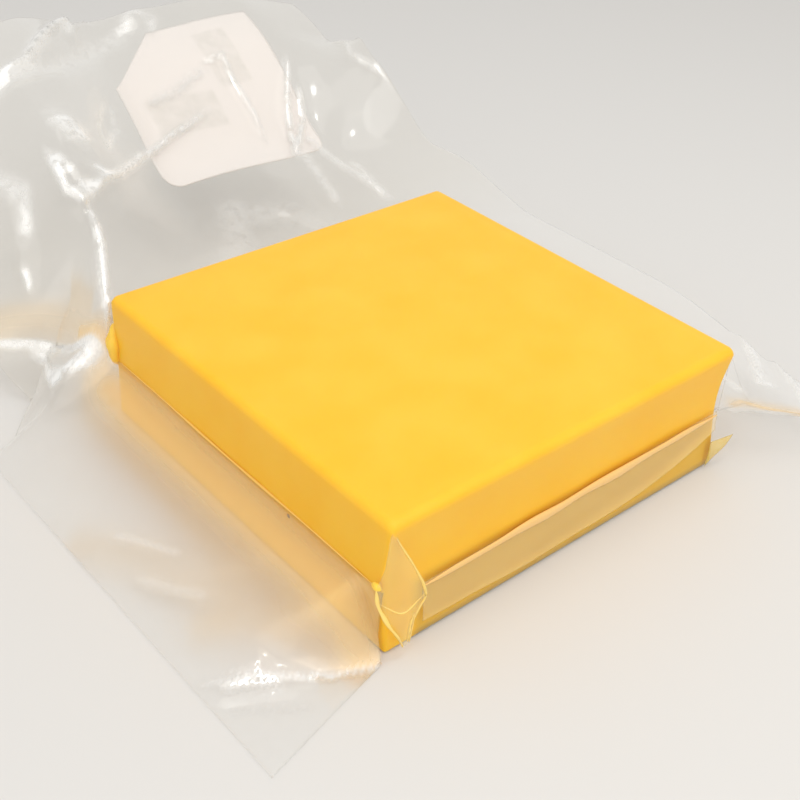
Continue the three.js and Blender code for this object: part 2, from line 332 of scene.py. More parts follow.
@dataclass(frozen=True)
class CheeseFinish:
    """Cheddar pressed against film, with painted shade under the folded seal and along the front face's
    foot.

    Attributes:
        name: the material's name.
        colour: of most of the block.
        pale: the colour of its lighter mottling.
        shaded: painted shade, the darker colour given to the cheese under the folded seal and clear of
            the near corner, for the flap's shade and the doubled film's tint.
        painted_foot_shade: painted contact shade, the darker colour along the front face's foot.
        shaded_from: where that shading starts and is full, above the seam.
        front_from: where the front's colours start and are full, behind its outermost line.
        near_from: where they start and are full, from the block's left side.
        foot_from: where the foot's painted shade starts and is full, above the floor.
        mottling: how fine the mottling is, in patches a metre.
        graining: how fine the surface's grain is.
        speck: the colour of its specks.
        roughness: of its gloss.
        specks: places of dark specks, each with its radius, in millimetres.
    """

    name: str = "Cheddar"
    colour: tuple = (0.97, 0.515, 0.022, 1.0)
    pale: tuple = (0.98, 0.55, 0.036, 1.0)
    shaded: tuple = (0.74, 0.43, 0.045, 1.0)
    painted_foot_shade: tuple = (0.46, 0.29, 0.075, 1.0)
    shaded_from: tuple = (1.0, -2.0)
    front_from: tuple = (4.0, 2.0)
    near_from: tuple = (7.0, 10.0)
    foot_from: tuple = (2.8, 0.8)
    mottling: float = 55.0
    graining: float = 900.0
    speck: tuple = srgb(90, 52, 16)
    roughness: float = 0.42
    specks: tuple = ()

    def material(self) -> bpy.types.Material:
        """Builds the material.

        Returns:
            A yellow, softly mottled material with a satin gloss, with painted shade under the seal and
            at the front face's foot.
        """
        made, n = fresh_material(self.name)
        place = n.add("TexCoord").outputs["Object"]
        curd = n.spread(n.noise(place, self.mottling, 4.0), 0.35, 0.65)
        grain = n.noise(place, self.graining, 3.0)
        colour = n.blend(curd, self.colour, self.pale)
        parts = n.add("SeparateXYZ", Vector=place).outputs
        # Painted shade: the cheese under the folded seal is darkened, for the flap's shade and the
        # doubled film's tint.
        low = n.spread(parts["Z"], *((SEAM_HEIGHT + z) * MM for z in self.shaded_from))
        ahead = n.spread(parts["Y"], *((y - HALF) * MM for y in self.front_from))
        clear = n.spread(parts["X"], *((x - HALF) * MM for x in self.near_from))
        ahead = n.maths("MULTIPLY", ahead, clear)
        colour = n.blend(n.maths("MULTIPLY", low, ahead), colour, self.shaded)
        # Painted shade: darker again at the front face's foot, for the contact shadow.
        foot = n.spread(parts["Z"], *(z * MM for z in self.foot_from))
        colour = n.blend(n.maths("MULTIPLY", foot, ahead), colour, self.painted_foot_shade)
        for x, y, z, radius in self.specks:
            apart = n.add("VectorMath", {"operation": "DISTANCE"}, _0=place, _1=(x * MM, y * MM, z * MM))
            near = n.maths("LESS_THAN", apart.outputs["Value"], radius * MM)
            colour = n.blend(near, colour, self.speck)
        height = n.maths("ADD", n.maths("MULTIPLY", grain, 0.05), n.maths("MULTIPLY", curd, 0.3))
        bump = n.add("Bump", Strength=0.25, Distance=0.0006, Height=height)
        rough = n.maths("MULTIPLY_ADD", grain, 0.15)
        rough.node.inputs[2].default_value = self.roughness - 0.07
        face = n.add("BsdfPrincipled", Base_Color=colour, Roughness=rough,
                     Normal=bump.outputs["Normal"])
        face.inputs["Specular IOR Level"].default_value = 0.25
        face.inputs["Subsurface Weight"].default_value = 0.25
        face.inputs["Subsurface Radius"].default_value = (1.0, 0.55, 0.15)
        face.inputs["Subsurface Scale"].default_value = 0.004
        n.add("OutputMaterial", Surface=face.outputs[0])
        return made


@dataclass(frozen=True)
class PaperFinish:
    """A coated paper label with faint plain panels printed on it.

    Attributes:
        name: the material's name.
        colour: of the bare paper.
        ink: the colour of the panels.
        panels: each panel's left, right, near and far edge, as shares of the label.
    """

    name: str = "LabelPaper"
    colour: tuple = srgb(241, 236, 235)
    ink: tuple = srgb(226, 222, 219)
    panels: tuple = ((0.1, 0.52, 0.28, 0.5), (0.58, 0.78, 0.5, 0.86))

    def material(self) -> bpy.types.Material:
        """Builds the material.

        Returns:
            A matt white material whose panels follow the label's own UV map.
        """
        made, n = fresh_material(self.name)
        laid = n.add("UVMap", {"uv_map": "UVMap"}).outputs["UV"]
        parts = n.add("SeparateXYZ", Vector=laid).outputs
        colour: object = self.colour
        fibre = n.noise(laid, 14.0, 4.0)
        for left, right, near, far in self.panels:
            inside: object = 1.0
            for axis, low, high in ((parts["X"], left, right), (parts["Y"], near, far)):
                after = n.spread(axis, low, low + 0.02)
                before = n.spread(axis, high + 0.02, high)
                inside = n.maths("MULTIPLY", inside, n.maths("MULTIPLY", after, before))
            worn = n.maths("MULTIPLY", inside, n.spread(fibre, 0.2, 0.75))
            colour = n.blend(worn, colour, self.ink)
        bump = n.add("Bump", Strength=0.1, Distance=0.0003, Height=n.noise(laid, 60.0, 3.0))
        face = n.add("BsdfPrincipled", Base_Color=colour, Roughness=0.6, Normal=bump.outputs["Normal"])
        n.add("OutputMaterial", Surface=face.outputs[0])
        return made


def finished(name: str, bm: bmesh.types.BMesh, material: bpy.types.Material, slot: Slot,
             node: str, thickness: float = 0.0) -> bpy.types.Object:
    """Args:
        name: the piece's name.
        bm: its shape, which is freed.
        material: its finish.
        slot: the record's slot for that finish; it is not used.
        node: the CAD node that it stands for.
        thickness: of the wall that a sheet is given, to both sides of it.

    Returns:
        The piece's object.
    """
    bmesh.ops.scale(bm, vec=(MM, MM, MM), verts=bm.verts)
    mesh = bpy.data.meshes.new(name)
    bm.to_mesh(mesh)
    bm.free()
    mesh.shade_smooth()
    mesh.materials.append(material)
    piece = in_scene(name, mesh)
    if thickness:
        wall = piece.modifiers.new("Wall", "SOLIDIFY")
        wall.thickness = thickness * MM
        wall.offset = 0.0
        wall.use_even_offset = False
    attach(piece, "root")
    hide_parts(node)
    LOG.info("%s: %d faces", name, len(mesh.polygons))
    return piece


def sheet(columns: int, rows: int, place: Callable[[float, float], Vector],
          laid: Callable[[float, float], tuple[float, float]] | None = None) -> bmesh.types.BMesh:
    """Makes a sheet by placing every vertex of a flat grid.

    Args:
        columns: faces across.
        rows: faces along.
        place: gives the place for a share across and a share along, each from 0 to 1.
        laid: gives the UV for the same shares, which are the UV themselves without it.

    Returns:
        The sheet, with a UV map.
    """
    bm = bmesh.new()
    bmesh.ops.create_grid(bm, x_segments=columns, y_segments=rows, size=1.0)
    layer = bm.loops.layers.uv.new("UVMap")
    shares = {v.index: ((v.co.x + 1) / 2, (v.co.y + 1) / 2) for v in bm.verts}
    for face in bm.faces:
        for loop in face.loops:
            share = shares[loop.vert.index]
            loop[layer].uv = laid(*share) if laid else share
    for vert in bm.verts:
        vert.co = place(*shares[vert.index])
    bm.normal_update()
    return bm


def bead(path: list[Vector], radius: float, sides: int = 8, flat: float = 1.0,
         seed: float = 0.0) -> bmesh.types.BMesh:
    """Makes a rounded bead of film along a path, run out to a point at both ends.

    Args:
        path: points in millimetres, which a smooth line joins.
        radius: the bead's radius at its middle.
        sides: faces round it.
        flat: its height as a share of its width.
        seed: where its unevenness starts.

    Returns:
        The closed bead.
    """
    steps = 8 * (len(path) - 1)

    def at(share: float) -> Vector:
        """Returns a point of the smooth line."""
        spot = clamp(share, 0.0, 1.0) * (len(path) - 1)
        i = min(int(spot), len(path) - 2)
        before, here, there, after = (path[clamp(k, 0, len(path) - 1)] for k in range(i - 1, i + 3))
        t = spot - i
        bend = 2 * before - 5 * here + 4 * there - after
        twist = 3 * here - before - 3 * there + after
        return 0.5 * (2 * here + (there - before) * t + bend * t * t + twist * t * t * t)

    def place(round_: float, along: float) -> Vector:
        """Returns the place of a share round and a share along the bead."""
        ahead = (at(along + 0.01) - at(along - 0.01)).normalized()
        side = ahead.cross(Vector((0, 0, 1)))
        side = side.normalized() if side.length > 1e-3 else Vector((1, 0, 0))
        up = side.cross(ahead)
        size = radius * math.sin(math.pi * clamp(along, 0.0, 1.0)) ** 0.5
        size *= 0.85 + 0.15 * math.sin(23 * along + seed)
        angle = 2 * math.pi * round_
        return at(along) + (side * math.cos(angle) + up * math.sin(angle) * flat) * size

    bm = sheet(sides, steps, place)
    bmesh.ops.remove_doubles(bm, verts=bm.verts, dist=1e-4)
    bmesh.ops.recalc_face_normals(bm, faces=bm.faces)
    return bm


def crumb(centre: Vector, radii: tuple, seed: float) -> bmesh.types.BMesh:
    """Makes an uneven lump of cheese that the film has pressed out.

    Args:
        centre: its middle, in millimetres.
        radii: its three half sizes.
        seed: where its unevenness starts.

    Returns:
        The closed lump.
    """
    bm = bmesh.new()
    bmesh.ops.create_icosphere(bm, subdivisions=3, radius=1.0)
    for vert in bm.verts:
        x, y, z = vert.co
        broad = 0.16 * math.sin(3.1 * x + seed) * math.cos(2.7 * y - seed)
        uneven = 1 + broad + 0.08 * math.sin(7 * z + seed)
        vert.co = centre + Vector((x * radii[0], y * radii[1], z * radii[2])) * uneven
    return bm


@dataclass(frozen=True)
class Trace:
    """A line on the film laid flat.

    Attributes:
        path: points across and along the film.
    """

    path: tuple

    def near(self, across: float, along: float, reach: float) -> tuple[float, float] | None:
        """Finds a point's distance from the line.

        Args:
            across: the point's place across the film.
            along: its place along the film.
            reach: how far from the line a point still counts.

        Returns:
            The distance and the share of the line it is nearest to, or None beyond the reach.
        """
        if not (min(p[0] for p in self.path) - reach < across < max(p[0] for p in self.path) + reach
                and min(p[1] for p in self.path) - reach < along < max(p[1] for p in self.path) + reach):
            return None
        nearest, at = reach, 0.0
        last = len(self.path) - 1
        for i, ((ax, ay), (bx, by)) in enumerate(zip(self.path, self.path[1:])):
            dx, dy = bx - ax, by - ay
            share = clamp(((across - ax) * dx + (along - ay) * dy) / (dx * dx + dy * dy), 0.0, 1.0)
            apart = math.hypot(across - ax - dx * share, along - ay - dy * share)
            if apart < nearest:
                nearest, at = apart, (i + share) / last
        return None if nearest == reach else (nearest, at)


@dataclass(frozen=True)
class Crease(Trace):
    """A crease or ridge that the slack film takes.

    Attributes:
        height: how far it stands up, or down where it is negative.
        width: from its line to where it is down to a third.
        fold: how it falls off to its sides.
    """

    height: float
    width: float
    fold: Fold = Fold.SOFT

    def lift(self, across: float, along: float) -> float:
        """Returns how far the crease lifts the film at a point."""
        found = self.near(across, along, 3 * self.width)
        if not found:
            return 0.0
        ends = smoothstep(found[1], 0.0, 0.15) * smoothstep(1 - found[1], 0.0, 0.25)
        fall = found[0] / self.width
        side = math.exp(-fall * fall) if self.fold is Fold.SOFT else math.exp(-1.3 * fall)
        return self.height * ends * side


@dataclass(frozen=True)
class Streak(Trace):
    """A soft streak on the film: a whitened crease, a painted highlight, a smear of cheese oil, or a
    painted reflection of the cheese.

    Attributes:
        strength: its mask at its line.
        width: from its line to where it is down to a third.
    """

    strength: float
    width: float

    def share(self, across: float, along: float) -> float:
        """Returns the streak's mask at a point."""
        found = self.near(across, along, 2.5 * self.width)
        if not found:
            return 0.0
        ends = smoothstep(found[1], -0.05, 0.12) * smoothstep(1 - found[1], -0.05, 0.12)
        return self.strength * ends * math.exp(-(found[0] / self.width) ** 2)


@dataclass(frozen=True)
class Dimple:
    """A round or oval hollow or swelling of the film, on the film laid flat.

    Attributes:
        across: its middle's place across the film.
        along: its middle's place along the film.
        height: how far it stands up, or down where it is negative.
        radii: its half sizes.
        turn: how far they are turned, in degrees.
    """

    across: float
    along: float
    height: float
    radii: tuple
    turn: float = 0.0

    def lift(self, across: float, along: float) -> float:
        """Returns how far the dimple lifts the film at a point."""
        c, s = math.cos(math.radians(self.turn)), math.sin(math.radians(self.turn))
        dx, dy = across - self.across, along - self.along
        u, v = (dx * c + dy * s) / self.radii[0], (dy * c - dx * s) / self.radii[1]
        return self.height * math.exp(-u * u - v * v)


@dataclass
class FilmForm:
    """The loose film's form: its fins beside the block and the tail that climbs behind it.

    Attributes:
        film: the thickness that the CAD gives the film.
        fin_width: of the slack film beside the block, from the block's side.
        floor_gap: from the floor to the film that lies on it.
        tail_length: of the film behind the block, laid flat.
        wave_height: of the tail's long waves.
        left_root: the height that the tail leaves the block at on its left.
        left_lengths: the tail's stretches along its left side, but for the last.
        left_slopes: its slopes there in degrees, at the ends of the stretches.
        right_lengths: the same stretches along its right half.
        right_slopes: its slopes there.
        left_drop: how far the left fin hangs down beside the tail.
        ridge_shift: how far inwards the tail's left ridge runs.
        right_lift: how far the right fin climbs behind the block.
        right_fall: how far it falls again beyond that.
        right_gather: how much narrower it is there.
        right_sag: how far it sags beside the block's front.
        drape_share: how much of the left fin's fall is a soft drape.
        drape_power: how soon that drape falls.
        fin_curve: how late a fin's outer part bends.
        crease_start: where the left fin meets the floor at the block, behind its near corner.
        crease_run: how far back that line runs by the fin's edge.
        front_reach: how far past the front face the left and the right fin's corners reach.
        slack_run: how far behind the block the long waves are full.
        root_run: where the film's left side leaves the seam's height and has left_root's, from the
            block's back.
        ridge_run: where the ridge's shift starts and is full, behind the block.
        lift_run: the same for right_lift.
        fall_run: the same for right_fall.
        gather_run: the same for right_gather.
        free_run: where the left fin starts to lift off the floor and is free of it, behind the block.
        floor_run: how far in front of its crease the left fin starts to lie down and lies flat.
        edge_run: the shares of a fin over which its front edge leaves the block's front face.
    """

    film: float = 0.8
    fin_width: float = 40.0
    floor_gap: float = 0.05
    tail_length: float = 124.0
    wave_height: float = 0.6
    left_root: float = 27.0
    left_lengths: tuple = (8, 16, 24)
    left_slopes: tuple = (30, 40, 44, 30, -30)
    right_lengths: tuple = (56, 14, 24)
    right_slopes: tuple = (14, 17, 44, 36, 8)
    left_drop: float = 40.0
    ridge_shift: float = 13.0
    right_lift: float = 20.0
    right_fall: float = 28.0
    right_gather: float = 12.0
    right_sag: float = 8.0
    drape_share: float = 0.65
    drape_power: float = 1.6
    fin_curve: float = 1.3
    crease_start: float = 2.0
    crease_run: float = 13.0
    front_reach: tuple = (11.0, 25.0)
    slack_run: float = 60.0
    root_run: tuple = (-3, 6)
    ridge_run: tuple = (0, 45)
    lift_run: tuple = (40, 60)
    fall_run: tuple = (65, 105)
    gather_run: tuple = (25, 55)
    free_run: tuple = (2, 30)
    floor_run: tuple = (-8, 5)
    edge_run: tuple = (0.01, 0.05)

    def tail_path(self, distance: float, leftness: float) -> tuple[float, float]:
        """Follows the tail out from the block's back.

        Args:
            distance: along the film from the block's back face.
            leftness: 1 at the block's left side and 0 over its right half.

        Returns:
            How far out the film is there, and how high.
        """
        slopes = [math.radians(lerp(r, s, leftness))
                  for r, s in zip(self.right_slopes, self.left_slopes)]
        lengths = [lerp(r, s, leftness) for r, s in zip(self.right_lengths, self.left_lengths)]
        lengths.append(self.tail_length - sum(lengths))
        root = lerp(SEAM_HEIGHT, self.left_root, leftness)
        root = lerp(SEAM_HEIGHT, root, smoothstep(distance, *self.root_run))
        if distance <= 0:
            return distance, root
        out, height, left = 0.0, root, distance
        for i, length in enumerate(lengths):
            run = left if i == len(lengths) - 1 else min(left, length)
            bend = (slopes[i + 1] - slopes[i]) / length
            end = slopes[i] + bend * run
            out += (math.sin(end) - math.sin(slopes[i])) / bend
            height += (math.cos(slopes[i]) - math.cos(end)) / bend
            left -= run
            if left <= 0:
                break
        return out, height

    def point(self, across: float, along: float) -> Vector:
        """Places a point of the film.

        Args:
            across: its distance from the block's centre line, on the film.
            along: its distance from the block's middle, on the film.

        Returns:
            Its place in millimetres.
        """
        place = self.stretched(across, along)
        slack = smoothstep(along, HALF, HALF + self.slack_run)
        place.z += self.wave_height * slack * math.sin(across / 11 + along / 17)
        return place

    def stretched(self, across: float, along: float) -> Vector:
        """Places a point of the film without its long waves."""
        tail = along - HALF
        side = clamp(across, -HALF, HALF)
        out, height = self.tail_path(tail, 1 - smoothstep(side, -HALF, 0))
        y = HALF + out
        ridge = self.ridge_shift * smoothstep(tail, *self.ridge_run)
        if across < ridge - HALF:
            return self.left_fin(across, along, ridge, y, height)
        if across <= HALF:
            return Vector((across, y, height))
        share = (across - HALF) / self.fin_width
        behind = self.right_lift * smoothstep(tail, *self.lift_run)
        behind -= self.right_fall * smoothstep(tail, *self.fall_run)
        rise = behind - self.right_sag * smoothstep(-along, 0, HALF)
        reach = math.sqrt(self.fin_width ** 2 - rise ** 2)
        reach -= self.right_gather * smoothstep(tail, *self.gather_run)
        return Vector((HALF + reach * share, y, height + rise * share ** self.fin_curve))

    def left_fin(self, across: float, along: float, ridge: float, y: float, height: float) -> Vector:
        """Places a point of the left fin, which hangs from its root to the floor."""
        width = self.fin_width + ridge
        share = (ridge - HALF - across) / width
        lift = smoothstep(along - HALF, *self.free_run)
        lowest = self.floor_gap + self.film / 2
        drop = min(height - lowest, lerp(height - lowest, self.left_drop, lift))
        reach = math.sqrt(width ** 2 - drop ** 2)
        hanging = 1 - (1 - min(share, 1.0)) ** self.drape_power
        draped = lerp(share, hanging, self.drape_share)
        curve = min(lerp(draped, share ** self.fin_curve, lift), 1.0)
        crease = self.crease_start - HALF + self.crease_run * share
        floored = smoothstep(crease - along, *self.floor_run)
        return Vector((ridge - HALF - reach * share, y, lerp(height - drop * curve, lowest, floored)))

    def front(self, across: float) -> float:
        """Returns where the film starts in front, at a place across it."""
        fin = clamp((abs(across) - HALF) / self.fin_width, 0.0, 1.0)
        start = lerp(2 - HALF, -HALF - 1, smoothstep(fin, *self.edge_run))
        return lerp(start, -HALF - self.front_reach[across > 0], fin)


CREASES = (
    Crease(((-55, 58), (-53, 65), (-48, 78), (-46, 91)), 2.6, 2.4, Fold.SHARP),
    Crease(((-46, 89), (-51, 97), (-50, 111)), 2.4, 3.0),
    Crease(((-46, 89), (-38, 98), (-29, 104), (-12, 120), (-3, 125), (12, 131)), 2.2, 2.0, Fold.SHARP),
    Crease(((60, 148), (50, 131), (41, 110)), 1.6, 1.6, Fold.SHARP),
    Crease(((41, 110), (52, 123), (58, 138)), 1.6, 1.6, Fold.SHARP),
    Crease(((50, 117), (51, 105), (57, 78)), 1.5, 2.2, Fold.SHARP),
    Crease(((44, 112), (39, 83)), 0.9, 2.5),
    Crease(((57, 101), (55, 72)), 0.9, 2.5),
    Crease(((-3, 180), (-17, 167), (-35, 146), (-49, 140), (-66, 132)), 4.5, 3.2, Fold.SHARP),
    Crease(((2, 180), (-9, 170), (-14, 160)), 2.0, 2.0, Fold.SHARP),
    Crease(((-55, 136), (-26, 146), (-2, 164), (20, 176)), -2.0, 4.0),
    Crease(((28, 152), (36, 153), (35, 144), (36, 129), (35, 117)), 1.0, 1.5, Fold.SHARP),
    Crease(((-3, 125), (10, 130), (24, 136)), 0.8, 1.6, Fold.SHARP),
    Crease(((-57, 55), (-66, 62), (-78, 75), (-93, 94)), -1.2, 2.6, Fold.SHARP),
    Crease(((-57, 54), (-70, 58), (-88, 84)), 0.8, 2.4, Fold.SHARP),
    Crease(((-96, -40), (-84, -45), (-78, -49), (-70, -54)), 1.2, 2.0, Fold.SHARP),
    Crease(((-96, -44), (-86, -48), (-76, -53)), 1.2, 1.2, Fold.SHARP),
    Crease(((-94, -37), (-86, -41), (-78, -45)), 1.0, 1.2, Fold.SHARP),
    Crease(((-95, -20), (-80, -32), (-66, -44)), 0.8, 3.4),
    Crease(((-95, 12), (-82, -8), (-62, -30)), 1.2, 4.0),
    Crease(((96, -28), (94, -38), (86, -47), (79, -50)), 1.6, 1.8, Fold.SHARP),
    Crease(((97, -42), (92, -54), (84, -63)), 1.6, 1.8, Fold.SHARP),
    Crease(((56, -57), (66, -62), (76, -68), (96, -79)), 0.9, 1.2, Fold.SHARP),
    Crease(((96, 111), (88, 127), (94, 159)), 1.5, 3.0),
    Crease(((-75, 92), (-70, 112), (-66, 128)), 1.2, 4.0),
    Crease(((20, 84), (30, 108)), 0.8, 4.0),
)

# Whitened creases, with painted highlights where light would catch the film's folds.
CREASE_WHITENING_AND_HIGHLIGHTS = (
    Streak(((-55, 58), (-53, 65), (-48, 78), (-46, 91)), 0.7, 1.0),
    Streak(((-46, 91), (-51, 97), (-50, 111)), 0.7, 1.3),
    Streak(((-46, 91), (-38, 98), (-29, 104), (-12, 120), (-3, 125), (21, 134)), 0.7, 1.0),
    Streak(((-40, 120), (-37, 111)), 1.0, 3.2),
    Streak(((-49, 107), (-47, 100)), 1.0, 2.0),
    Streak(((-46, 97), (-44, 94), (-42, 97)), 0.9, 1.6),
    Streak(((-37, 104), (-34, 101)), 0.8, 1.5),
    Streak(((-14, 138), (-23, 124), (-24, 117), (-14, 129), (-12, 138)), 0.35, 0.9),
    Streak(((58, 145), (50, 131), (41, 110)), 0.6, 1.0),
    Streak(((41, 110), (52, 123), (57, 134)), 0.6, 1.0),
    Streak(((50, 117), (51, 105), (57, 79)), 0.4, 1.2),
    Streak(((44, 112), (39, 83)), 0.3, 1.4),
    Streak(((57, 101), (55, 79)), 0.3, 1.2),
    Streak(((94, 159), (88, 127), (96, 111)), 0.4, 1.3),
    Streak(((-7, 180), (-17, 167), (-35, 146), (-49, 140), (-60, 134)), 0.6, 1.9),
    Streak(((-3, 180), (-10, 172), (-13, 166)), 0.5, 1.4),
    Streak(((-55, 137), (-26, 146), (-2, 166), (17, 174)), 0.28, 2.6),
    Streak(((10, 172), (16, 178), (22, 174), (18, 168)), 0.4, 1.6),
    Streak(((28, 151), (36, 152), (35, 144), (36, 129), (35, 119)), 0.4, 1.0),
    Streak(((2, 140), (14, 143), (27, 149)), 0.3, 1.6),
    Streak(((-57, 56), (-70, 66), (-80, 76), (-95, 96)), 0.55, 0.9),
    Streak(((-60, 57), (-78, 64), (-87, 82)), 0.9, 1.0),
    Streak(((-63, 59), (-74, 62), (-82, 72)), 0.7, 1.2),
    Streak(((-95, -40), (-84, -45), (-78, -49), (-70, -54)), 0.3, 0.8),
    Streak(((-76, -50), (-70, -54), (-62, -57), (-57, -59)), 0.35, 0.8),
    Streak(((-92, -44), (-80, -50)), 0.2, 0.8),
    Streak(((-94, -47), (-86, -53), (-78, -58)), 0.15, 1.0),
    Streak(((-86, 9), (-82, 0), (-78, -10)), 0.2, 1.0),
    Streak(((-89, -6), (-84, -16), (-80, -23)), 0.16, 1.6),
    Streak(((95, -35), (90, -42), (81, -50), (84, -53)), 0.8, 1.1),
    Streak(((97, -46), (92, -54), (84, -63)), 0.8, 1.1),
    Streak(((75, -30), (72, -44), (70, -52)), 0.4, 1.6),
    Streak(((-74, 95), (-76, 91)), 0.9, 1.0),
    Streak(((-69, 121), (-63, 108), (-69, 100)), 0.5, 2.2),
    Streak(((-90, 112), (-86, 132), (-80, 150)), 0.3, 3.0),
    Streak(((-20, 62), (0, 82), (10, 100)), 0.16, 5.0),
    Streak(((40, 64), (24, 84), (10, 92)), 0.14, 5.0),
)

# Cheese oil on the film, with a painted reflection of the cheese's yellow on the left flap and a painted
# glow along the left foot.
OIL_AND_CHEESE_REFLECTION = (
    Streak(((-56, 57), (-60, 60), (-66, 66)), 0.55, 2.2),
    Streak(((-62, 64), (-76, 80), (-86, 92), (-98, 104)), 0.28, 4.0),
    Streak(((-57, 64), (-62, 74), (-66, 78)), 0.2, 4.0),
    Streak(((59, -55), (65, -55), (68, -60), (76, -68), (96, -82)), 0.45, 0.9),
    Streak(((60, -52), (70, -60), (80, -68)), 0.16, 3.0),
    # Painted light: the glow beside the cheese's left foot, laid over its contact shadow.
    Streak(((-62, 58), (-62.8, 30), (-62.8, 0), (-62.4, -66)), 0.58, 4.2),
    Streak(((-58.5, 58), (-58.5, -66)), 0.3, 3.0),
    Streak(((-66, 56), (-68, 0), (-68, -54)), 0.2, 7.0),
    Streak(((-96, 18), (-85, -3), (-76, -34)), 0.12, 7.0),
    Streak(((-90, -26), (-76, -38), (-64, -46)), 0.1, 5.0),
    Streak(((-30, 60), (30, 60)), 0.05, 6.0),
)

DIMPLES = (
    Dimple(-38, 115, 1.8, (5, 7)),
    Dimple(-44, 101, 1.5, (5, 5)),
    Dimple(-18, 127, -2.0, (4, 12), -30),
    Dimple(16, 176, 2.2, (7, 4), 20),
    Dimple(-82, 0, 1.0, (8, 22), 20),
    Dimple(-75, 95, 0.8, (3, 4)),
)

SPECKS = (
    (-55.2, 26.3, 11.0, 0.55),
    (-55.2, -21.0, 15.0, 0.6),
    (-55.4, 34.9, 7.2, 0.3),
    (-55.4, -30.0, 3.0, 0.35),
)


@dataclass
class CheddarBlock:
    """The block of cheese itself, and the film that clings to it.

    Attributes:
        clearance: from the CAD's outer face in to the cheese.
        skin: from it in to the clinging film.
        segments: of its grid, along each edge.
        edge_segments: how many of them each rounded edge takes.
        top_radius: of its upper edges.
        bottom_radius: of its lower edges.
        upright_radius: of its upright edges at mid height.
        hidden_pinch: the share of the pinch that its left and back faces have.
        pinch_rise: above 1, it sets the pinch higher than mid height.
        lowest: how far above the floor the cheese may start at most.
        finish: of the cheese.
    """

    clearance: float = 0.35
    skin: float = 0.05
    segments: int = 36
    edge_segments: int = 5
    top_radius: float = 2.1
    bottom_radius: float = 0.9
    upright_radius: float = 1.3
    hidden_pinch: float = 0.2
    pinch_rise: float = 1.25
    lowest: float = 0.15
    finish: CheeseFinish = field(default_factory=lambda: CheeseFinish(specks=SPECKS))

    def form(self, inset: float) -> bmesh.types.BMesh:
        """Makes the block's rounded form, drawn in by an inset all round."""
        bm = bmesh.new()
        bmesh.ops.create_cube(bm, size=2.0)
        bmesh.ops.subdivide_edges(bm, edges=bm.edges[:], cuts=self.segments - 1, use_grid_fill=True)
        half = Vector((HALF - inset, HALF - inset, BLOCK_HEIGHT / 2 - inset))
        for vert in bm.verts:
            level = self.top_radius if vert.co.z > 0 else self.bottom_radius
            upright = lerp(level, self.upright_radius, smoothstep(1 - abs(vert.co.z), 0.0, 0.5))
            radii = (upright, upright, level)
            outer = Vector([self.paced(vert.co[i], half[i], radii[i]) for i in range(3)])
            inner = Vector([clamp(outer[i], radii[i] - half[i], half[i] - radii[i]) for i in range(3)])
            away = Vector([(outer[i] - inner[i]) / radii[i] for i in range(3)]).normalized()
            place = Vector([inner[i] + away[i] * radii[i] for i in range(3)])
            share = clamp((place.z + half.z - level) / (2 * (half.z - level)), 0.0, 1.0)
            pinch = SIDE_PINCH * math.sin(math.pi * share ** self.pinch_rise)
            for i in (0, 1):
                slight = self.hidden_pinch if (i == 0) == (place[i] < 0) else 1.0
                drawn = math.copysign(pinch * slight, place[i])
                place[i] -= drawn * smoothstep(abs(place[i]), half[i] * 0.9, half[i])
            sunk = (inset - min(inset, self.lowest)) * clamp(0.5 - place.z / half.z, 0.0, 1.0)
            vert.co = place + Vector((0, 0, BLOCK_HEIGHT / 2 - sunk))
        bmesh.ops.recalc_face_normals(bm, faces=bm.faces)
        return bm

    def paced(self, at: float, half: float, radius: float) -> float:
        """Returns where a cube's grid line goes, so that the edges get lines of their own."""
        edge = 1 - 2 * self.edge_segments / self.segments
        if abs(at) <= edge:
            return at / edge * (half - radius)
        return math.copysign(half - radius + radius * (abs(at) - edge) / (1 - edge), at)

    def build(self) -> None:
        """Builds the cheese."""
        cheese = self.finish.material()
        finished("cheddar_block", self.form(self.clearance), cheese, Slot.CHEESE, POUCH)

    def wrap(self, film: bpy.types.Material) -> None:
        """Builds the clinging film."""
        finished("clinging_film", self.form(self.skin), film, Slot.FILM, POUCH)


